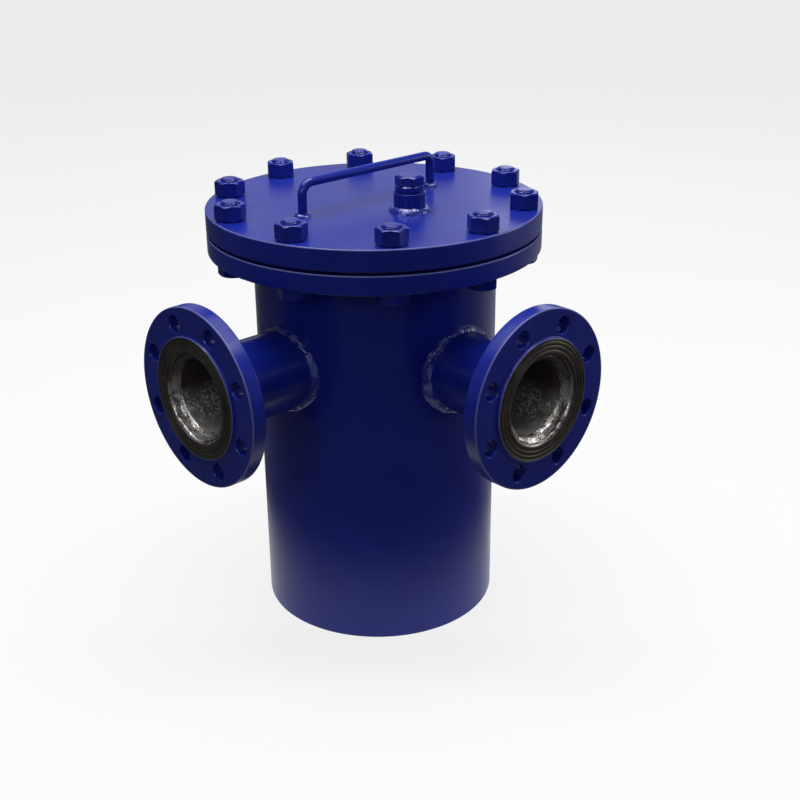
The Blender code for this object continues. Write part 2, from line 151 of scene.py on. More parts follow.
class Nodes:
    """The node tree of a new material, with short calls for the nodes that it needs."""

    def __init__(self, name):
        self.material = bpy.data.materials.new(name)
        self.material.use_nodes = True
        self.tree = self.material.node_tree
        self.shader = self.tree.nodes["Principled BSDF"]
        self.place = self.add("ShaderNodeTexCoord").outputs["Object"]

    def add(self, kind, **settings):
        node = self.tree.nodes.new(kind)
        for key, value in settings.items():
            setattr(node, key, value)
        return node

    def put(self, socket, value):
        if isinstance(value, bpy.types.NodeSocket):
            self.tree.links.new(value, socket)
        elif isinstance(value, tuple) and len(value) == 3 and socket.type == "RGBA":
            socket.default_value = (*value, 1)
        else:
            socket.default_value = value

    def noise(self, scale, detail=2.0, rough=0.5, vector=None, distortion=0.0):
        node = self.add("ShaderNodeTexNoise")
        self.put(node.inputs["Vector"], vector or self.place)
        node.inputs["Scale"].default_value = scale
        node.inputs["Detail"].default_value = detail
        node.inputs["Roughness"].default_value = rough
        node.inputs["Distortion"].default_value = distortion
        return node.outputs["Fac"]

    def cells(self, scale):
        node = self.add("ShaderNodeTexVoronoi", feature="F1")
        self.put(node.inputs["Vector"], self.place)
        node.inputs["Scale"].default_value = scale
        return node.outputs["Distance"]

    def stretch(self, scale):
        node = self.add("ShaderNodeMapping")
        self.put(node.inputs["Vector"], self.place)
        node.inputs["Scale"].default_value = scale
        return node.outputs["Vector"]

    def parts(self):
        """The place's x, y and z."""
        node = self.add("ShaderNodeSeparateXYZ")
        self.put(node.inputs[0], self.place)
        return node.outputs[0], node.outputs[1], node.outputs[2]

    def joined(self, x, y, z):
        node = self.add("ShaderNodeCombineXYZ")
        for socket, value in zip(node.inputs, (x, y, z)):
            self.put(socket, value)
        return node.outputs[0]

    def radius(self):
        """Distance from the local Z axis."""
        x, y, _ = self.parts()
        return self.length(self.joined(x, y, 0.0))

    def ringwise(self, along, across):
        """A place that changes quickly across the rings round local Z, and slowly along them."""
        x, y, z = self.parts()
        slow_x, slow_y = self.maths("MULTIPLY", x, along), self.maths("MULTIPLY", y, along)
        quick = self.maths("MULTIPLY", self.radius(), across)
        deep = self.maths("MULTIPLY", z, across)
        return self.joined(self.maths("ADD", quick, slow_x), self.maths("ADD", deep, slow_y), slow_x)

    def length(self, vector):
        node = self.add("ShaderNodeVectorMath", operation="LENGTH")
        self.put(node.inputs[0], vector)
        return node.outputs["Value"]

    def span(self, value, low, high, to_low=0.0, to_high=1.0, curve="LINEAR"):
        node = self.add("ShaderNodeMapRange", interpolation_type=curve)
        self.put(node.inputs["Value"], value)
        node.inputs["From Min"].default_value = low
        node.inputs["From Max"].default_value = high
        node.inputs["To Min"].default_value = to_low
        node.inputs["To Max"].default_value = to_high
        return node.outputs["Result"]

    def mix(self, share, first, second):
        node = self.add("ShaderNodeMix", data_type="RGBA")
        self.put(node.inputs["Factor"], share)
        self.put(node.inputs[6], first)
        self.put(node.inputs[7], second)
        return node.outputs[2]

    def choice(self, share, first, second):
        """The first number where share is 0, and the second where it is 1."""
        node = self.add("ShaderNodeMix")
        self.put(node.inputs["Factor"], share)
        self.put(node.inputs[2], first)
        self.put(node.inputs[3], second)
        return node.outputs[0]

    def maths(self, kind, first, second=0.0):
        node = self.add("ShaderNodeMath", operation=kind)
        self.put(node.inputs[0], first)
        self.put(node.inputs[1], second)
        return node.outputs[0]

    def bump(self, height, distance, strength=1.0, under=None):
        node = self.add("ShaderNodeBump")
        self.put(node.inputs["Height"], height)
        node.inputs["Distance"].default_value = distance
        node.inputs["Strength"].default_value = strength
        if under is not None:
            self.put(node.inputs["Normal"], under)
        return node.outputs["Normal"]

    def finish(self, colour, roughness, normal, metallic=0.0, specular=0.5, coat=0.0):
        inputs = self.shader.inputs
        self.put(inputs["Base Color"], colour)
        self.put(inputs["Roughness"], roughness)
        self.put(inputs["Normal"], normal)
        inputs["Metallic"].default_value = metallic
        inputs["Specular IOR Level"].default_value = specular
        inputs["Coat Weight"].default_value = coat
        return self.material


def enamel(name, peel, lumps, gloss, edges=(), overspray_and_highlight_share=0.0, coat=0.0):
    """Sprayed blue enamel: orange peel, slow swells, cloudy coverage and a few specks of dust. A pale
    painted highlight line runs along each of the listed round edges, and pale patches, partly dry overspray
    and partly painted highlight, can be mixed in."""
    made = Nodes(name)
    cloud = made.noise(9, 3, 0.55)
    shade = made.mix(made.span(cloud, 0.35, 0.65), (0.0060, 0.0145, 0.232), (0.0090, 0.0205, 0.275))
    specks = made.span(made.noise(620, 1, 0.5), 0.78, 0.86)
    shade = made.mix(made.maths("MULTIPLY", specks, 0.15), shade, (0.10, 0.11, 0.24))
    # pale patches on the welds: partly dry overspray, partly painted highlight
    if overspray_and_highlight_share:
        overspray_and_highlight = made.span(made.noise(55, 3, 0.6, distortion=0.5), 0.48, 0.66, 0.0, overspray_and_highlight_share)
        shade = made.mix(overspray_and_highlight, shade, (0.24, 0.28, 0.68))
    # painted highlight: a pale line along each listed round edge, standing in for the light caught there
    for radius, height in edges:
        off = made.maths("SUBTRACT", made.radius(), radius)
        down = made.maths("SUBTRACT", made.parts()[2], height)
        away = made.length(made.joined(off, down, 0.0))
        painted_edge_highlight = made.span(away, 1.8 * MM, 0.6 * MM, 0.0, 0.6)
        painted_edge_highlight = made.maths("MULTIPLY", painted_edge_highlight, made.span(cloud, 0.30, 0.50, 0.55, 1.0))
        shade = made.mix(painted_edge_highlight, shade, (0.21, 0.23, 0.50))
    rough = made.span(made.noise(14, 4, 0.6), 0.3, 0.7, gloss, gloss + 0.08)
    swell = made.bump(made.noise(26, 3, 0.6), 1.2 * MM * lumps, 0.5)
    skin = made.bump(made.noise(240, 2, 0.5), 0.09 * MM * peel, 0.35, swell)
    return made.finish(shade, rough, skin, specular=0.42, coat=coat)


def raised_face_steel():
    """Turned steel left dark with oil: black dirt in the grooves, olive and rust stains outside them."""
    made = Nodes("oily_machined_steel")
    stain = made.noise(38, 5, 0.65, distortion=0.6)
    rings = made.noise(1.0, 2, 0.6, made.ringwise(6, 460))
    colour = made.mix(made.span(stain, 0.35, 0.7), (0.058, 0.048, 0.043), (0.140, 0.119, 0.105))
    colour = made.mix(made.span(rings, 0.35, 0.65, 0.0, 0.55), colour, (0.016, 0.014, 0.014))
    outer = made.span(made.radius(), 58.5 * MM, 62.5 * MM)
    olive = made.maths("MULTIPLY", outer, made.span(made.noise(30, 4, 0.6), 0.40, 0.62))
    colour = made.mix(made.maths("MULTIPLY", olive, 0.6), colour, (0.115, 0.105, 0.045))
    rust = made.span(made.noise(75, 5, 0.7), 0.60, 0.72)
    colour = made.mix(made.maths("MULTIPLY", rust, 0.45), colour, (0.14, 0.060, 0.022))
    rough = made.span(made.noise(90, 3, 0.6), 0.3, 0.7, 0.30, 0.5)
    skin = made.bump(made.noise(700, 3, 0.6), 0.1 * MM, 0.6)
    return made.finish(colour, rough, skin, metallic=0.7)


def ground_steel():
    """Weld metal dressed with a grinder: bright facets and streaks, with rust left between them. Its upper
    part is darkened as painted shade.
    """
    made = Nodes("ground_weld_steel")
    streak = made.noise(1.0, 4, 0.65, made.ringwise(60, 700))
    patch = made.noise(75, 3, 0.6, distortion=0.5)
    colour = made.mix(made.span(streak, 0.35, 0.62), (0.22, 0.20, 0.185), (0.80, 0.775, 0.75))
    _, height, _ = made.parts()
    # rust patches, and painted shade that darkens the upper side of the ring
    rust_and_painted_shade = made.maths("MAXIMUM", made.span(patch, 0.50, 0.60), made.span(height, -4 * MM, 18 * MM))
    colour = made.mix(made.maths("MULTIPLY", rust_and_painted_shade, 0.85), colour, (0.070, 0.052, 0.042))
    rough = made.span(streak, 0.3, 0.7, 0.38, 0.20)
    swell = made.bump(made.noise(110, 3, 0.6, distortion=0.8), 1.2 * MM, 0.6)
    skin = made.bump(streak, 0.3 * MM, 0.6, swell)
    return made.finish(colour, rough, skin, metallic=0.9)


def pitted_steel():
    """The pipe's bare inner wall: mill scale and pits, with painted light in its colour: painted shade
    darkens the top, it is lighter low down and lighter still at the smooth bottom, and bright grain bared by
    wear shows only in the lit low band, partly as painted glints.
    """
    made = Nodes("pitted_bore_steel")
    _, height, _ = made.parts()
    grain = made.noise(270, 4, 0.7)
    patch = made.noise(55, 3, 0.6)
    # painted light: the wall's colour turns lighter low down, and darker (painted shade) up top
    low = made.span(height, -2 * MM, -20 * MM)
    # painted light: lighter still at the very bottom
    bottom = made.span(height, -34 * MM, -39 * MM)
    # bright grain bared by wear, kept to the painted lit band, partly standing in for glints
    worn_grain_and_glints = made.maths("MULTIPLY", made.span(grain, 0.48, 0.56), made.span(patch, 0.36, 0.52))
    worn_grain_and_glints = made.maths("MULTIPLY", worn_grain_and_glints, low)
    worn_grain_and_glints = made.maths("MULTIPLY", worn_grain_and_glints, made.maths("SUBTRACT", 1.0, bottom))
    base = made.mix(low, (0.085, 0.068, 0.056), (0.25, 0.235, 0.22))
    base = made.mix(bottom, base, (0.38, 0.365, 0.35))
    colour = made.mix(worn_grain_and_glints, base, (0.90, 0.88, 0.85))
    rough = made.span(grain, 0.35, 0.65, 0.50, 0.26)
    pits = made.bump(made.cells(300), 1.2 * MM, 0.5)
    skin = made.bump(grain, 1.2 * MM, 0.7, pits)
    return made.finish(colour, rough, skin, metallic=0.3, specular=0.6)


def bare_steel():
    """Hot rolled steel plate inside the body."""
    made = Nodes("wet_bare_steel")
    cloud = made.noise(18, 5, 0.65)
    colour = made.mix(made.span(cloud, 0.3, 0.7), (0.10, 0.092, 0.08), (0.26, 0.24, 0.21))
    rust = made.span(made.noise(50, 5, 0.7), 0.55, 0.75)
    colour = made.mix(made.maths("MULTIPLY", rust, 0.55), colour, (0.14, 0.062, 0.026))
    rough = made.span(cloud, 0.3, 0.7, 0.38, 0.62)
    skin = made.bump(made.noise(320, 4, 0.65), 0.4 * MM, 0.6)
    return made.finish(colour, rough, skin, metallic=0.9)


def stainless():
    """Rolled stainless sheet with a fine upright grain."""
    made = Nodes("stainless_sheet")
    grain = made.noise(60, 3, 0.6, made.stretch((14, 14, 0.6)))
    colour = made.mix(made.span(grain, 0.3, 0.7), (0.44, 0.44, 0.43), (0.60, 0.60, 0.585))
    rough = made.span(grain, 0.3, 0.7, 0.22, 0.36)
    skin = made.bump(grain, 0.08 * MM, 0.6)
    return made.finish(colour, rough, skin, metallic=1.0)


def gasket_sheet():
    """Compressed fibre sheet, dark and matt."""
    made = Nodes("gasket_fibre_sheet")
    fibre = made.noise(500, 4, 0.7)
    colour = made.mix(made.span(fibre, 0.3, 0.7), (0.018, 0.018, 0.019), (0.045, 0.044, 0.043))
    skin = made.bump(fibre, 0.3 * MM, 0.6)
    return made.finish(colour, made.span(fibre, 0.3, 0.7, 0.7, 0.9), skin)


# Each look's material, and the material slot of the part that it stands for
LOOKS = {
    "enamel": (enamel("blue_enamel_plate", 0.6, 0.30, 0.19), "blue_enamel"),
    "fastener": (enamel("blue_enamel_fastener", 1.0, 0.5, 0.15), "blue_enamel"),
    "cover": (enamel("blue_enamel_cover", 0.6, 0.30, 0.25, COVER_HIGHLIGHT_EDGES), "blue_enamel"),
    "flange": (enamel("blue_enamel_flange", 0.6, 0.30, 0.19, FLANGE_HIGHLIGHT_EDGES), "blue_enamel"),
    "disc": (enamel("blue_enamel_disc", 0.6, 0.30, 0.19, DISC_HIGHLIGHT_EDGES), "blue_enamel"),
    "weld": (enamel("blue_enamel_weld", 1.0, 0.8, 0.15, overspray_and_highlight_share=0.45, coat=0.4), "blue_enamel"),
    "face": (raised_face_steel(), "bare_steel"),
    "ground": (ground_steel(), "bare_steel"),
    "pitted": (pitted_steel(), "bare_steel"),
    "bare": (bare_steel(), "bare_steel"),
    "stainless": (stainless(), "stainless"),
    "gasket": (gasket_sheet(), "gasket_sheet"),
}


# Mesh building

CLEAN = 0.003 * MM  # edges shorter than this are left over from a Boolean


def grid_faces(rows, columns, wrap_rows, wrap_columns):
    """Faces between the points of a grid that is listed row by row."""
    faces = []
    for i in range(rows if wrap_rows else rows - 1):
        up = (i + 1) % rows
        for j in range(columns if wrap_columns else columns - 1):
            on = (j + 1) % columns
            faces.append((i * columns + j, i * columns + on, up * columns + on, up * columns + j))
    return faces


def mesh_object(name, points, faces, matrix=None, local=False):
    """A mesh of these points. With local it keeps matrix as its own frame, else matrix moves the points."""
    mesh = bpy.data.meshes.new(name)
    mesh.from_pydata([tuple(p) for p in points], [], faces)
    work = bmesh.new()
    work.from_mesh(mesh)
    if matrix is not None and not local:
        bmesh.ops.transform(work, matrix=matrix, verts=work.verts)
    bmesh.ops.remove_doubles(work, verts=work.verts, dist=0.002 * MM)
    bmesh.ops.recalc_face_normals(work, faces=work.faces)
    work.to_mesh(mesh)
    work.free()
    made = bpy.data.objects.new(name, mesh)
    bpy.context.scene.collection.objects.link(made)
    if local:
        made.matrix_world = matrix
    return made


def dress(made, look, body, replaces=(), smooth_under=35):
    """Gives a piece its look, the CAD body that it rides on, and the CAD nodes that it replaces."""
    material, slot = LOOKS[look]
    made.data.materials.clear()
    made.data.materials.append(material)
    made.data.shade_smooth()
    made.data.set_sharp_from_angle(angle=math.radians(smooth_under))
    weighted = made.modifiers.new("flat faces stay flat", "WEIGHTED_NORMAL")
    weighted.keep_sharp = True
    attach(made, body)
    if replaces:
        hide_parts(*replaces)
    return made


def apply_modifiers(made):
    """Makes a piece's modifiers part of its mesh."""
    bpy.context.view_layer.update()
    graph = bpy.context.evaluated_depsgraph_get()
    mesh = bpy.data.meshes.new_from_object(made.evaluated_get(graph))
    mesh.name = made.name
    work = bmesh.new()
    work.from_mesh(mesh)
    bmesh.ops.dissolve_degenerate(work, dist=CLEAN, edges=work.edges)
    work.to_mesh(mesh)
    work.free()
    made.modifiers.clear()
    made.data = mesh


def bored(made, cutter):
    """Cuts a piece with a cutter, which is then removed."""
    modifier = made.modifiers.new("cut", "BOOLEAN")
    modifier.operation = "DIFFERENCE"
    modifier.object = cutter
    apply_modifiers(made)
    bpy.data.objects.remove(cutter, do_unlink=True)


def eased(outline, radius, steps=3):
    """A closed outline with every corner rounded to about radius."""
    points = [Vector(p) for p in outline]
    made = []
    for i, corner in enumerate(points):
        before, after = points[i - 1], points[(i + 1) % len(points)]
        back = min(radius, (before - corner).length * 0.45)
        on = min(radius, (after - corner).length * 0.45)
        start = corner + (before - corner).normalized() * back
        end = corner + (after - corner).normalized() * on
        for k in range(steps + 1):
            t = k / steps
            made.append(start * (1 - t) ** 2 + corner * 2 * t * (1 - t) + end * t**2)
    return [tuple(p) for p in made]


def turned(outline, sides, closed=True):
    """Points and faces of an outline of (radius, height) swept round +Z."""
    angles = np.linspace(0, 2 * math.pi, sides, endpoint=False)
    radii = np.array([p[0] for p in outline])
    heights = np.array([p[1] for p in outline])
    x = np.outer(np.cos(angles), radii)
    y = np.outer(np.sin(angles), radii)
    z = np.tile(heights, (sides, 1))
    points = np.stack([x, y, z], -1).reshape(-1, 3)
    return points, grid_faces(sides, len(outline), True, closed)


def turned_object(name, outline, sides, closed=True, matrix=None, local=False):
    return mesh_object(name, *turned(outline, sides, closed), matrix, local)


def ring_outline(outer, inner, low, high):
    return [(outer, high), (outer, low), (inner, low), (inner, high)]


def pin_outline(radius, low, high):
    return [(0, high), (radius, high), (radius, low), (0, low)]


def circle_spots(radius, count, first=0.0):
    angles = [first + 2 * math.pi * i / count for i in range(count)]
    return [(radius * math.cos(a), radius * math.sin(a)) for a in angles]


def move(points, x, y):
    return [(p[0] + x, p[1] + y, p[2]) for p in points]


def join_parts(name, parts, matrix=None):
    """One mesh of several (points, faces)."""
    points, faces = [], []
    for more, their_faces in parts:
        first = len(points)
        points += [tuple(p) for p in more]
        faces += [tuple(v + first for v in face) for face in their_faces]
    return mesh_object(name, points, faces, matrix)


def drills(spots, radius, low, high, bevel, matrix=None):
    """A cutter for holes through a plate between low and high, each with a 45 degree bevel at both ends."""
    over = 3 * MM
    outline = [
        (0, high + over),
        (radius + bevel, high + over),
        (radius + bevel, high),
        (radius, high - bevel),
        (radius, low + bevel),
        (radius + bevel, low),
        (radius + bevel, low - over),
        (0, low - over),
    ]
    points, faces = turned(outline, 40, False)
    return join_parts("drills", [(move(points, x, y), faces) for x, y in spots], matrix)


def rod(path, radius, sides, across):
    """Points and faces of a bent rod. radius(i, angle) is its radius, and across is square to its bends."""
    count = len(path)
    points = []
    for i, spot in enumerate(path):
        along = (path[min(i + 1, count - 1)] - path[max(i - 1, 0)]).normalized()
        side = (across - along * across.dot(along)).normalized()
        up = along.cross(side)
        for j in range(sides):
            angle = 2 * math.pi * j / sides
            r = radius(i, angle)
            points.append(spot + side * (r * math.cos(angle)) + up * (r * math.sin(angle)))
    faces = grid_faces(count, sides, False, True)
    faces.append(tuple(range(sides)))
    faces.append(tuple(range((count - 1) * sides, count * sides)))
    return points, faces


def fillet_weld(name, toes, sections, leg, seed, rough=1.0, steps=12):
    """A hand-laid weld all round the corner between two faces. toes(angle, a, b) gives the corner itself,
    the point at a along one face and the point at b along the other."""
    ripple = 4 * MM
    buried = 0.3 * MM  # the weld's toes, under the faces
    shift = Vector((seed * 3.7, seed * 1.3, seed * 0.7))
    angles = [2 * math.pi * i / sections for i in range(sections)]
    corners = [toes(angle, leg, leg)[0] for angle in angles]
    length = sum((corners[i] - corners[i - 1]).length for i in range(sections))
    ripples = max(6, round(length / ripple))
    points = []
    for i, corner in enumerate(corners):
        wide = 1 + 0.42 * rough * noise.noise(corner * 75 + shift)
        tall = 1 + 0.42 * rough * noise.noise(corner * 75 - shift)
        corner, first, second = toes(angles[i], leg * wide, leg * tall)
        out = ((first + second) / 2 - corner).normalized()
        phase = i / sections * ripples
        points.append(first - out * buried)
        for k in range(steps + 1):
            t = k / steps
            swell = math.sin(math.pi * t)
            spot = first.lerp(second, t)
            lumps = noise.noise(spot * 150 + shift) + 0.35 * noise.noise(spot * 400 + shift)
            wave = abs(math.sin(math.pi * (phase + 0.5 * swell)))
            lift = leg * (0.15 * swell + rough * 0.11 * lumps * swell**0.5) + 0.30 * MM * wave * swell
            points.append(spot + out * lift)
        points.append(second - out * buried)
        points.append(corner - out * 4 * buried)
    return mesh_object(name, points, grid_faces(sections, steps + 4, True, True))


def ring_toes(radius, height, centre=(0, 0), up=1):
    """The corner where an upright round face of this radius meets a flat face at this height."""

    def toes(angle, along, out):
        side = Vector((math.cos(angle), math.sin(angle), 0))
        corner = Vector((*centre, height)) + side * radius
        return corner, corner + Vector((0, 0, up * along)), corner + side * out

    return toes


def hexagon(flats, outline_of, turn, closed):
    """Points and faces of outline_of(r) swept round a hexagon, with r its radius there. Its corners are cut
    off a little."""
    angles = (-30, -29, -27.5, -25, -20, -12, -4, 4, 12, 20, 25, 27.5, 29)  # from the middle of a flat
    corner = flats / math.sqrt(3) * 0.985
    points = []
    for face in range(6):
        for degrees in angles:
            angle = math.radians(degrees)
            about = math.radians(turn + 60 * face) + angle
            outline = outline_of(min(flats / 2 / math.cos(angle), corner))
            points += [(r * math.cos(about), r * math.sin(about), z) for r, z in outline]
    return points, grid_faces(6 * len(angles), len(outline), True, closed)


def stud(radius, low, high):
    """Points and faces of a bolt's threaded end, chamfered and slightly domed at high."""
    sides, steps = 48, 90
    cap = 1.6 * MM  # the chamfer's height
    slope = 0.9
    points = []
    for i in range(steps + 1):
        z = low + (high - low) * i / steps
        for j in range(sides):
            angle = 2 * math.pi * j / sides
            phase = (z / THREAD_PITCH - j / sides) % 1
            groove = abs(phase - 0.5) * 2
            r = radius - THREAD_DEPTH * max(0.0, groove * 1.3 - 0.3)
            r = min(r, radius - max(0.0, z - (high - cap)) * slope)
            points.append((r * math.cos(angle), r * math.sin(angle), z))
    rim = radius - cap * slope
    for share, rise in ((0.92, 0.25), (0.72, 0.5), (0.4, 0.62)):
        for j in range(sides):
            angle = 2 * math.pi * j / sides
            r = rim * share
            points.append((r * math.cos(angle), r * math.sin(angle), high + rise * 0.5 * MM))
    faces = grid_faces(steps + 4, sides, False, True)
    faces.append(tuple(range((steps + 3) * sides, (steps + 4) * sides)))
    faces.append(tuple(range(sides)))
    return points, faces


# Body


def mouth_toes(angle, across, up):
    """The corner on the shell's top edge, inside the body flange."""
    side = Vector((math.cos(angle), math.sin(angle), 0))
    corner = side * (BODY_R + GAP / 2) + Vector((0, 0, BODY_HIGH))
    return corner, corner - side * across, corner + Vector((0, 0, up))


def build_body():
    outline = eased(ring_outline(BODY_R, BODY_BORE_R, 0, BODY_HIGH), 1.6 * MM)
    shell = turned_object("body_tube", outline, 256)
    for matrix in NOZZLES.values():
        hole = pin_outline(NOZZLE_R + GAP, 90 * MM, 200 * MM)
        bored(shell, turned_object("cutter", hole, 96, False, matrix))
    dress(shell, "enamel", "strainer_body", ("body_shell",))

    outline = [
        (0, BOTTOM_THICK),
        (BOTTOM_R, BOTTOM_THICK),
        (BOTTOM_R, 0.6 * MM),
        (BOTTOM_R - 0.9 * MM, 0),
        (0, 0),
    ]
    bottom = turned_object("body_bottom", outline, 128, False)
    dress(bottom, "enamel", "strainer_body", ("bottom_plate",))

    outline = eased(ring_outline(COVER_R, BODY_R + 0.1 * MM, FLANGE_LOW, FLANGE_TOP), 1.5 * MM, 4)
    flange = turned_object("body_flange_ring", outline, 256)
    spots = circle_spots(BOLT_CIRCLE_R, BOLT_COUNT)
    bored(flange, drills(spots, BOLT_HOLE_R, FLANGE_LOW, FLANGE_TOP, BOLT_HOLE_BEVEL))
    dress(flange, "flange", "strainer_body", ("body_flange",))

    toes = ring_toes(BODY_R, FLANGE_LOW, up=-1)
    bead = fillet_weld("body_flange_weld", toes, 700, FLANGE_WELD_LEG, 1)
    dress(bead, "weld", "strainer_body", smooth_under=60)
    bead = fillet_weld("body_mouth_weld", mouth_toes, 500, MOUTH_WELD_LEG, 2, rough=0.5, steps=6)
    dress(bead, "weld", "strainer_body", smooth_under=60)

    outline = ring_outline(GASKET_R, GASKET_BORE_R, FLANGE_TOP + GAP, COVER_LOW - GAP)
    sheet = turned_object("cover_gasket", eased(outline, 0.4 * MM, 2), 192)
    dress(sheet, "gasket", "strainer_body", ("gasket",))


# Cover


def build_cover():
    steps = 4
    outline = eased(pin_outline(COVER_R, COVER_LOW, COVER_TOP), 1.9 * MM, steps)
    edge = outline[steps + 1 : 3 * (steps + 1)]  # the two outer corners
    plate = turned_object("cover_disc", [(0, COVER_TOP), *edge, (0, COVER_LOW)], 288, False)
    spots = circle_spots(BOLT_CIRCLE_R, BOLT_COUNT)
    bored(plate, drills(spots, BOLT_HOLE_R, COVER_LOW, COVER_TOP, BOLT_HOLE_BEVEL))
    bored(plate, drills([(VENT_X, 0)], VENT_HOLE_R, COVER_LOW, COVER_TOP, VENT_HOLE_BEVEL))
    dress(plate, "cover", "cover", ("cover_plate",))


def handle_path():
    """The rod's middle line: up from the cover, over and down again."""
    rise = HANDLE_TOP - COVER_TOP
    half = HANDLE_HALF_SPAN
    front, back = HANDLE_BENDS
    arc_steps, bar_steps = 14, 24
    arc = [math.pi / 2 * k / arc_steps for k in range(arc_steps + 1)]
    leg = [rise * share for share in (0, 0.2, 0.4)]
    points = [(-half, z) for z in leg]
    points += [(-half + front * (1 - math.cos(a)), rise - front * (1 - math.sin(a))) for a in arc]
    start, end = -half + front, half - back
    points += [(start + (end - start) * k / bar_steps, rise) for k in range(1, bar_steps)]
    points += [(half - back * (1 - math.cos(a)), rise - back * (1 - math.sin(a))) for a in reversed(arc)]
    points += [(half, z) for z in reversed(leg)]
    foot = Vector((HANDLE_X, HANDLE_Y, COVER_TOP + 0.1 * MM))
    return [Vector((0, y, z)) + foot for y, z in points]


def build_handle():
    path = handle_path()

    def radius(i, angle):
        return HANDLE_ROD_R * (1 + 0.012 * noise.noise(path[i] * 90 + Vector((math.cos(angle), 0, 0))))

    bar = mesh_object("lift_handle", *rod(path, radius, 28, Vector((1, 0, 0))))
    dress(bar, "fastener", "cover", ("cover_handle",), 50)
    for name, side, seed in (("front", -1, 3), ("back", 1, 4)):
        toes = ring_toes(HANDLE_ROD_R, COVER_TOP, (HANDLE_X, HANDLE_Y + side * HANDLE_HALF_SPAN))
        bead = fillet_weld(f"handle_foot_weld_{name}", toes, 110, HANDLE_WELD_LEG, seed, rough=1.3)
        dress(bead, "weld", "cover", (f"handle_weld_{name}",), 60)


def build_vent():
    matrix = Matrix.Translation((VENT_X, 0, 0))
    outline = eased(ring_outline(BOSS_R, BOSS_BORE_R, COVER_TOP + 0.1 * MM, BOSS_TOP), 0.8 * MM)
    boss = turned_object("vent_socket", outline, 96, True, matrix)
    dress(boss, "fastener", "cover", ("vent_boss",))
    toes = ring_toes(BOSS_R, COVER_TOP, (VENT_X, 0))
    bead = fillet_weld("vent_socket_weld", toes, 240, BOSS_WELD_LEG, 5)
    dress(bead, "weld", "cover", ("vent_boss_weld",), 60)

    outline = ring_outline(COLLAR_R, WASHER_BORE_R, BOSS_TOP + GAP, COLLAR_LOW - GAP)
    washer = turned_object("vent_seal_washer", eased(outline, 0.4 * MM, 2), 64, True, matrix)
    dress(washer, "fastener", "vent_washer", ("vent_washer",))
    build_plug(matrix)


def build_plug(matrix):
    """The vent plug: a chamfered hexagon on a round collar, and a ridged thread below."""
    top_circle = PLUG_FLATS / 2 * 0.86

    def head_outline(r):
        over = r - top_circle
        drop = over * math.tan(math.radians(32))
        return [
            (0, PLUG_TOP),
            (top_circle * 0.6, PLUG_TOP),
            (top_circle, PLUG_TOP),
            (top_circle + over * 0.5, PLUG_TOP - drop * 0.5),
            (r - 0.2 * MM, PLUG_TOP - drop),
            (r, PLUG_TOP - drop - 0.3 * MM),
            (r, COLLAR_TOP + 0.6 * MM),
            (r - 0.4 * MM, COLLAR_TOP - 0.2 * MM),
            (0, COLLAR_TOP - 0.2 * MM),
        ]

    head = hexagon(PLUG_FLATS, head_outline, 7, False)
    collar_outline = [
        (0, COLLAR_TOP),
        (COLLAR_R - 1.4 * MM, COLLAR_TOP),
        (COLLAR_R, COLLAR_TOP - 1.2 * MM),
        (COLLAR_R, COLLAR_LOW + 0.5 * MM),
        (COLLAR_R - 0.5 * MM, COLLAR_LOW),
        (PLUG_THREAD_R, COLLAR_LOW),
    ]
    ridges = 11
    for k in range(ridges * 2):
        depth = 0.9 * MM if k % 2 else 0.0
        z = COLLAR_LOW - 1 * MM - (COLLAR_LOW - 2 * MM - PLUG_THREAD_END) * k / (ridges * 2 - 1)
        collar_outline.append((PLUG_THREAD_R - depth, z))
    collar_outline += [(PLUG_THREAD_R - 1.4 * MM, PLUG_THREAD_END), (0, PLUG_THREAD_END)]
    collar = turned(collar_outline, 64, False)
    plug = join_parts("vent_plug_head", [head, collar], matrix)
    dress(plug, "fastener", "vent_plug", ("vent_plug",), 28)


# Fasteners


HEX_FACE_R = HEX_FLATS / 2 * 0.95  # the round flat left inside the chamfer


def chamfer(r):
    """How far r stands past the hexagon's round flat, and how far the chamfer has fallen there."""
    over = max(0.0, r - HEX_FACE_R)
    return over, over * math.tan(math.radians(30))


def nut_outline(r):
    bore = BOLT_R + 0.25 * MM
    low = COVER_TOP + GAP
    high = low + NUT_HIGH
    over, drop = chamfer(r)
    return [
        (bore, high - 1.0 * MM),
        (bore + 1.1 * MM, high),
        (HEX_FACE_R, high),
        (HEX_FACE_R + over * 0.5, high - drop * 0.5),
        (r - 0.15 * MM, high - drop),
        (r, high - drop - 0.35 * MM),
        (r, low + drop * 0.6 + 0.3 * MM),
        (HEX_FACE_R, low),
        (bore, low),
    ]


def bolt_head_outline(r):
    high = FLANGE_LOW - GAP
    low = high - BOLT_HEAD_HIGH
    over, drop = chamfer(r)
    return [
        (0, low),
        (HEX_FACE_R, low),
        (HEX_FACE_R + over * 0.5, low + drop * 0.5),
        (r - 0.15 * MM, low + drop),
        (r, low + drop + 0.35 * MM),
        (r, high - 0.4 * MM),
        (r - 0.3 * MM, high),
        (0, high),
    ]


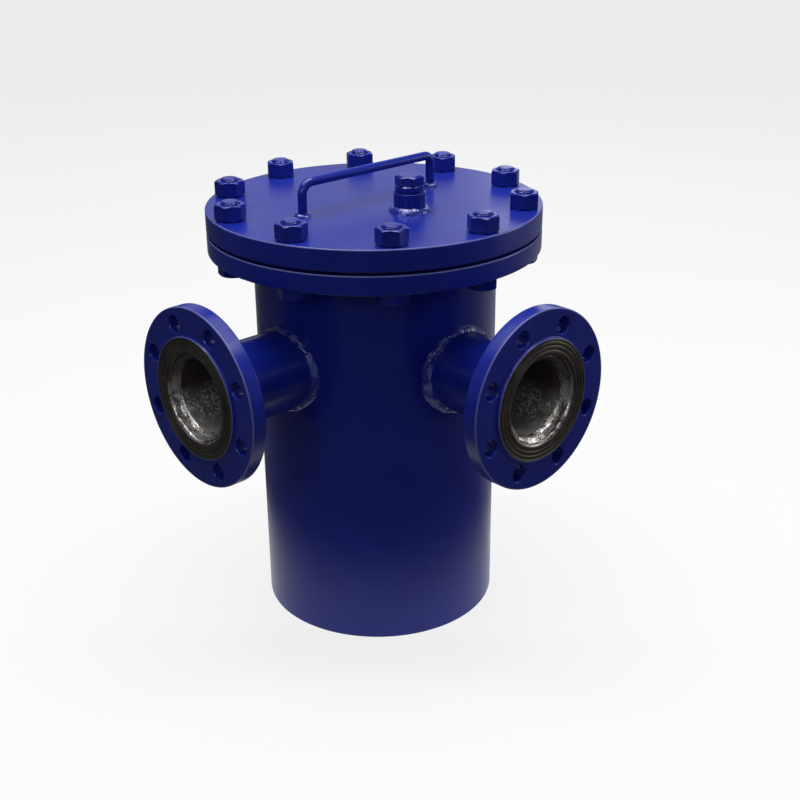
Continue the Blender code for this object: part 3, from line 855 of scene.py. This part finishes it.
def build_fasteners():
    inside = 1 * MM  # how far the shank starts inside the head
    shank = pin_outline(BOLT_R - 0.2 * MM, FLANGE_LOW - GAP - inside, THREAD_START + 2 * MM)
    for i, (x, y) in enumerate(circle_spots(BOLT_CIRCLE_R, BOLT_COUNT)):
        points, faces = hexagon(HEX_FLATS, nut_outline, NUT_TURNS[i], True)
        nut = mesh_object(f"nut_{i + 1:02d}", move(points, x, y), faces)
        dress(nut, "fastener", "cover_nuts", (f"cover_nut_{i + 1:02d}",), 28)

        end = BOLT_END - 0.4 * MM + 0.6 * MM * noise.noise(Vector((i * 1.7, 0.5, 0)))
        parts = (
            hexagon(HEX_FLATS, bolt_head_outline, NUT_TURNS[i] + HEAD_TURN, False),
            turned(shank, 48, False),
            stud(BOLT_R - 0.1 * MM, THREAD_START, end),
        )
        bolt = join_parts(f"bolt_{i + 1:02d}", [(move(points, x, y), faces) for points, faces in parts])
        dress(bolt, "fastener", "strainer_body", (f"cover_bolt_{i + 1:02d}",), 40)


# Nozzles


def saddle_toes(matrix):
    """The corner where a nozzle's pipe meets the round body."""

    def on_body(radius, angle):
        x, y = radius * math.cos(angle), radius * math.sin(angle)
        return Vector((x, y, math.sqrt(BODY_R**2 - x**2)))

    def toes(angle, along, out):
        corner = on_body(NOZZLE_R, angle)
        on_pipe = corner + Vector((0, 0, along))
        return matrix @ corner, matrix @ on_pipe, matrix @ on_body(NOZZLE_R + out, angle)

    return toes


def neck_toes(matrix):
    """The corner where a nozzle's pipe meets the back of its flange."""

    def toes(angle, along, out):
        side = Vector((math.cos(angle), math.sin(angle), 0))
        corner = side * NOZZLE_R + Vector((0, 0, NOZZLE_FLANGE_BACK))
        on_pipe = corner - Vector((0, 0, along))
        return matrix @ corner, matrix @ on_pipe, matrix @ (corner + side * out)

    return toes


def body_bore_cutter():
    """The round inside of the body, which the pipes end flush with."""
    bore = pin_outline(BODY_BORE_R - GAP, 250 * MM, 380 * MM)
    return turned_object("cutter", bore, 192, False)


def build_nozzle(name, matrix, seed):
    steps = 12
    end = PIPE_END - 1 * MM
    rings = [(NOZZLE_R, end + (PIPE_START - PIPE_END) * k / steps) for k in range(steps + 1)]
    inner = NOZZLE_BORE_R + 0.4 * MM
    outline = rings + [(inner, PIPE_START), (inner, BORE_MOUTH_END - 2 * MM)]
    pipe = turned_object(f"nozzle_tube_{name}", outline, 160, True, matrix)
    bored(pipe, body_bore_cutter())
    dress(pipe, "enamel", "strainer_body", (f"nozzle_pipe_{name}",))

    build_bore(name, matrix, seed)
    build_mouth_weld(name, matrix, seed)
    build_flange(name, matrix)

    leg = SADDLE_WELD_LEGS[name]
    bead = fillet_weld(f"nozzle_saddle_weld_{name}", saddle_toes(matrix), 460, leg, seed, rough=1.2)
    dress(bead, "weld", "strainer_body", (f"nozzle_weld_{name}",), 60)
    bead = fillet_weld(f"nozzle_neck_weld_{name}", neck_toes(matrix), 360, NECK_WELD_LEG, seed + 5)
    dress(bead, "weld", "strainer_body", smooth_under=60)


def build_flange(name, matrix):
    """The painted disc with its bolt holes, and the bare raised face with its sealing grooves."""
    face, back, top = NOZZLE_FLANGE_FACE, NOZZLE_FLANGE_BACK, NOZZLE_REACH
    bore = NOZZLE_R + 0.15 * MM
    land = RAISED_FACE_R - 1.0 * MM
    plain = [
        (NOZZLE_FLANGE_R, face),
        (NOZZLE_FLANGE_R, back),
        (bore, back),
        (bore, PIPE_END - 3 * MM),
        (BORE_MOUTH_R + 1.5 * MM, PIPE_END),
        (land, PIPE_END),
        (land, top),
        (RAISED_FACE_R, top),
        (RAISED_FACE_R, face),
    ]
    flange = turned_object(f"nozzle_disc_{name}", eased(plain, 1.3 * MM, 4), 224, True, matrix, True)
    spots = circle_spots(NOZZLE_HOLE_CIRCLE_R, 8, math.pi / 8)
    bored(flange, drills(spots, NOZZLE_HOLE_R, back, face, NOZZLE_HOLE_BEVEL, matrix))
    dress(flange, "disc", "strainer_body", (f"nozzle_flange_{name}",))

    low = PIPE_END + GAP
    outline = [(land, low), (land, top - 0.25 * MM), (land - 0.3 * MM, top)]
    for centre in GROOVE_RADII:
        outline += [(centre + across, top - down) for across, down in GROOVE_HALF]
        outline += [(centre - across, top - down) for across, down in reversed(GROOVE_HALF)]
    outline += [
        (BORE_MOUTH_R + 1.6 * MM, top),
        (BORE_MOUTH_R + 0.8 * MM, top - 0.25 * MM),
        (BORE_MOUTH_R + 0.4 * MM, top - 0.9 * MM),
        (BORE_MOUTH_R + 0.4 * MM, low),
    ]
    raised = turned_object(f"nozzle_raised_face_{name}", outline, 224, True, matrix, True)
    dress(raised, "face", "strainer_body", smooth_under=50)


def build_bore(name, matrix, seed):
    """The bare inner wall of the pipe, pitted all over, and its plain back."""
    shift = Vector((seed * 5.1, seed * 2.3, 0))
    sides, rings = 220, 120
    directions = [(math.cos(a), math.sin(a)) for a in (2 * math.pi * j / sides for j in range(sides))]
    points = []
    for i in range(rings + 1):
        z = PIPE_START + (BORE_MOUTH_END - PIPE_START) * i / rings
        for x, y in directions:
            spot = Vector((NOZZLE_BORE_R * x, NOZZLE_BORE_R * y, z))
            pit = noise.noise(spot * 420 + shift) + 0.6 * noise.noise(spot * 900 + shift)
            swell = noise.noise(spot * 40 + shift)
            r = NOZZLE_BORE_R - 0.2 * MM + 0.22 * MM * pit + 0.35 * MM * swell
            points.append((r * x, r * y, z))
    for r, z in ((NOZZLE_BORE_R + 0.7 * MM, BORE_MOUTH_END), (NOZZLE_BORE_R + 0.6 * MM, PIPE_START)):
        points += [(r * x, r * y, z) for x, y in directions]
    faces = grid_faces(rings + 3, sides, True, True)
    liner = mesh_object(f"nozzle_inner_wall_{name}", points, faces, matrix, True)
    bored(liner, body_bore_cutter())
    dress(liner, "pitted", "strainer_body", smooth_under=60)


def build_mouth_weld(name, matrix, seed):
    """Inside the mouth: a lip, a groove, and a weld ground down to the pipe wall."""
    shift = Vector((seed * 5.1, seed * 2.3, 0))
    top = NOZZLE_REACH
    # (radius, height, how uneven)
    profile = [
        (BORE_MOUTH_R + 0.7 * MM, top - 1.1 * MM, 0.0),
        (BORE_MOUTH_R + 0.1 * MM, top - 1.3 * MM, 0.2),
        (BORE_MOUTH_R - 0.5 * MM, top - 1.8 * MM, 0.4),
        (BORE_MOUTH_R - 1.1 * MM, top - 2.6 * MM, 0.4),
        (BORE_MOUTH_R - 1.6 * MM, top - 3.4 * MM, 0.3),
        (BORE_MOUTH_R - 1.7 * MM, top - 4.4 * MM, 0.1),
        (BORE_MOUTH_R - 1.9 * MM, top - 4.9 * MM, 0.1),
        (BORE_MOUTH_R - 2.6 * MM, top - 4.5 * MM, 0.4),
    ]
    start_r, start_z = profile[-1][0], profile[-1][1]
    steps = 14
    outward = 0.7  # a move along the weld's own slope, inward and up by this share each
    for k in range(1, steps + 1):
        t = k / steps
        bulge = 1.1 * MM * math.sin(math.pi * t)
        r = start_r + (NOZZLE_BORE_R - 0.9 * MM - start_r) * t - bulge * outward
        z = start_z + (BORE_MOUTH_END - start_z) * t + bulge * outward
        profile.append((r, z, 1.0 - 0.5 * t))
    profile.append((NOZZLE_BORE_R + 0.9 * MM, BORE_MOUTH_END - 0.6 * MM, 0.0))
    profile.append((BORE_MOUTH_R + 0.7 * MM, PIPE_END + 0.4 * MM, 0.0))
    sides = 280
    points = []
    for r, z, loose in profile:
        for j in range(sides):
            a = 2 * math.pi * j / sides
            spot = Vector((r * math.cos(a), r * math.sin(a), z))
            lump = noise.noise(spot * 120 + shift) + 0.45 * noise.noise(spot * 380 + shift)
            wave = 0.75 * MM * lump * loose * outward
            points.append(((r - wave) * math.cos(a), (r - wave) * math.sin(a), z + wave))
    faces = grid_faces(len(profile), sides, True, True)
    ground = mesh_object(f"nozzle_ground_weld_{name}", points, faces, matrix, True)
    dress(ground, "ground", "strainer_body", smooth_under=60)


# Inside


def perforated_sheet():
    """Points (angle, height) and faces of the basket's wall, with a round hole in each cell of a staggered
    grid. The lowest row and the two highest rows stay closed."""
    width = 2 * math.pi / CELLS_ROUND
    height = (RIM_TOP - BASKET_LOW) / CELLS_HIGH
    border = ((1, 0), (1, 1), (0, 1), (-1, 1), (-1, 0), (-1, -1), (0, -1), (1, -1))
    sides = len(border)
    points, faces = [], []
    for row in range(CELLS_HIGH):
        z = BASKET_LOW + height * (row + 0.5)
        is_open = 1 <= row < CELLS_HIGH - 2
        for i in range(CELLS_ROUND):
            about = width * (i + (0.5 if row % 2 else 0))
            first = len(points)
            points += [(about + u * width / 2, z + v * height / 2) for u, v in border]
            for k in range(sides):
                a = 2 * math.pi / sides * k
                across = BASKET_HOLE_R / BASKET_R * math.cos(a)
                points.append((about + across, z + BASKET_HOLE_R * math.sin(a)))
            hole = [first + sides + k for k in range(sides)]
            for k in range(sides):
                on = (k + 1) % sides
                faces.append((first + k, first + on, hole[on], hole[k]))
            if not is_open:
                faces.append(tuple(hole))
    return points, faces


def build_basket():
    matrix = Matrix.Translation((BASKET_X, 0, 0))
    flat_points, faces = perforated_sheet()
    points = [(BASKET_R * math.cos(a), BASKET_R * math.sin(a), z) for a, z in flat_points]
    sheet = mesh_object("basket_perforated_tube", points, faces, matrix)
    solidify = sheet.modifiers.new("thick", "SOLIDIFY")
    solidify.thickness = SCREEN_THICK
    solidify.offset = -1
    apply_modifiers(sheet)
    dress(sheet, "stainless", "basket", ("basket_screen",), 40)

    outline = eased(ring_outline(RIM_R, BASKET_R + 0.05 * MM, RIM_LOW, RIM_TOP), 0.7 * MM)
    rim = turned_object("basket_rim_ring", outline, 144, True, matrix)
    dress(rim, "stainless", "basket", ("basket_rim",))


def build_bail():
    """A half circle of wire lying on the rim, with a straight pin at each end."""
    droop = math.asin((PIVOT_Z - RIM_TOP - BAIL_ROD_R - GAP) / BAIL_R)
    steps = 48
    pin = [BAIL_PIN_END, BAIL_PIN_END - 1 * MM, BAIL_R + 4 * MM]
    path = [Vector((0, -y, 0)) for y in pin]
    for i in range(steps + 1):
        angle = math.pi * i / steps
        out = BAIL_R * math.sin(angle)
        path.append(Vector((-out * math.cos(droop), -BAIL_R * math.cos(angle), -out * math.sin(droop))))
    path += [Vector((0, y, 0)) for y in reversed(pin)]
    path = [p + Vector((BASKET_X, 0, PIVOT_Z)) for p in path]
    across = Vector((-math.sin(droop), 0, math.cos(droop)))
    wire = mesh_object("basket_wire_bail", *rod(path, lambda i, angle: BAIL_ROD_R, 20, across))
    dress(wire, "stainless", "basket_bail", ("basket_bail",), 50)


def dress_cad_nodes():
    """Looks for the CAD nodes that are shown as they are."""
    looks = {
        "basket_seat_ring": "bare",
        "outlet_riser": "bare",
        "basket_floor": "stainless",
        "basket_lug_front": "stainless",
        "basket_lug_back": "stainless",
    }
    for node, look in looks.items():
        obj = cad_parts[node]
        material, slot = LOOKS[look]
        obj.data.materials.clear()
        obj.data.materials.append(material)


# Stage

FLOOR_BRIGHT_WAY = (-0.454, 0.891, 0)


def floor_material():
    """A pale floor. The camera sees it evenly lit. Other rays see it grey, brighter toward FLOOR_BRIGHT_WAY,
    and glowing close to the part."""
    made = Nodes("pale_floor")
    seen = made.add("ShaderNodeLightPath").outputs["Is Camera Ray"]
    glow = made.span(made.length(made.place), 0.17, 0.37, 0.58, 0.0, "SMOOTHSTEP")
    way = made.add("ShaderNodeVectorMath", operation="NORMALIZE")
    made.put(way.inputs[0], made.place)
    toward = made.add("ShaderNodeVectorMath", operation="DOT_PRODUCT")
    made.put(toward.inputs[0], way.outputs["Vector"])
    toward.inputs[1].default_value = FLOOR_BRIGHT_WAY
    grey = made.span(toward.outputs["Value"], 0.5, 0.9, 0.08, 0.34)
    inputs = made.shader.inputs
    made.put(inputs["Base Color"], made.choice(seen, grey, 0.16))
    made.put(inputs["Emission Strength"], made.choice(seen, glow, 0.80))
    inputs["Emission Color"].default_value = (1, 1, 1, 1)
    inputs["Roughness"].default_value = 0.8
    inputs["Specular IOR Level"].default_value = 0.05
    return made.material


def build_stage():
    half = 30
    mesh = bpy.data.meshes.new("floor")
    corners = [(-half, -half, 0), (half, -half, 0), (half, half, 0), (-half, half, 0)]
    mesh.from_pydata(corners, [], [(0, 1, 2, 3)])
    mesh.materials.append(floor_material())
    floor = bpy.data.objects.new("floor", mesh)
    floor.location.z = -0.2 * MM
    bpy.context.scene.collection.objects.link(floor)


def area_light(name, location, target, width, height, power, turn=0):
    """A rectangular light that shines at target. turn, in degrees, turns it about its own axis."""
    data = bpy.data.lights.new(name, "AREA")
    data.shape = "RECTANGLE"
    data.size = width
    data.size_y = height
    data.energy = power
    lamp = bpy.data.objects.new(name, data)
    bpy.context.scene.collection.objects.link(lamp)
    lamp.location = location
    aim = Vector(target) - Vector(location)
    lamp.rotation_mode = "QUATERNION"
    lamp.rotation_quaternion = aim.to_track_quat("-Z", "Y") @ Quaternion((0, 0, 1), math.radians(turn))
    lamp.visible_camera = False


def build_lights():
    world = bpy.data.worlds.new("studio")
    bpy.context.scene.world = world
    world.use_nodes = True
    tree = world.node_tree
    background = tree.nodes["Background"]
    background.inputs["Color"].default_value = (0.80, 0.83, 0.9, 1)
    rays = tree.nodes.new("ShaderNodeLightPath")
    strength = tree.nodes.new("ShaderNodeMapRange")
    strength.inputs["To Min"].default_value = 0.18
    strength.inputs["To Max"].default_value = 1.0
    tree.links.new(rays.outputs["Is Camera Ray"], strength.inputs["Value"])
    tree.links.new(strength.outputs["Result"], background.inputs["Strength"])
    area_light("overhead", (-0.1, 0.0, 2.3), (-0.1, 0, 0), 2.4, 2.4, 34)
    area_light("tube", (0.0, 0.0, 2.25), (0, 0, 0), 2.2, 0.16, 24, 47)
    area_light("back_panel", (-1.75, 1.95, 1.5), (0, 0, 0.45), 2.4, 1.6, 3.9)
    area_light("right_card", (1.3, 1.9, 0.7), (0.1, 0.1, 0.3), 0.8, 1.6, 9)
    area_light("back_card", (-1.38, 2.04, 1.11), (0.12, 0.13, 0.48), 0.5, 0.9, 1.2)
    area_light("front_card_left", (0.85, -1.95, 1.4), (0, -0.1, 0.35), 0.35, 0.5, 3.4)
    area_light("front_card_right", (1.85, -1.05, 1.4), (0.1, 0, 0.35), 0.35, 0.3, 1.2)


def build_camera():
    """The photo's point of view."""
    data = bpy.data.cameras.new("camera")
    data.sensor_width = 36
    data.lens = 57.873
    camera = bpy.data.objects.new("camera", data)
    bpy.context.scene.collection.objects.link(camera)
    camera.location = (1.03873, -0.92841, 0.84741)
    aim = Vector((0.01803, 0.01942, 0.24031)) - camera.location
    camera.rotation_mode = "QUATERNION"
    roll = Quaternion((0, 0, 1), math.radians(-0.57))
    camera.rotation_quaternion = aim.to_track_quat("-Z", "Y") @ roll
    bpy.context.scene.camera = camera
    bpy.context.scene.view_settings.view_transform = "Standard"


build_body()
build_cover()
build_handle()
build_vent()
build_fasteners()
for nozzle_seed, (nozzle_name, nozzle_matrix) in enumerate(NOZZLES.items(), 11):
    build_nozzle(nozzle_name, nozzle_matrix, nozzle_seed)
build_basket()
build_bail()
dress_cad_nodes()
build_stage()
build_lights()
build_camera()
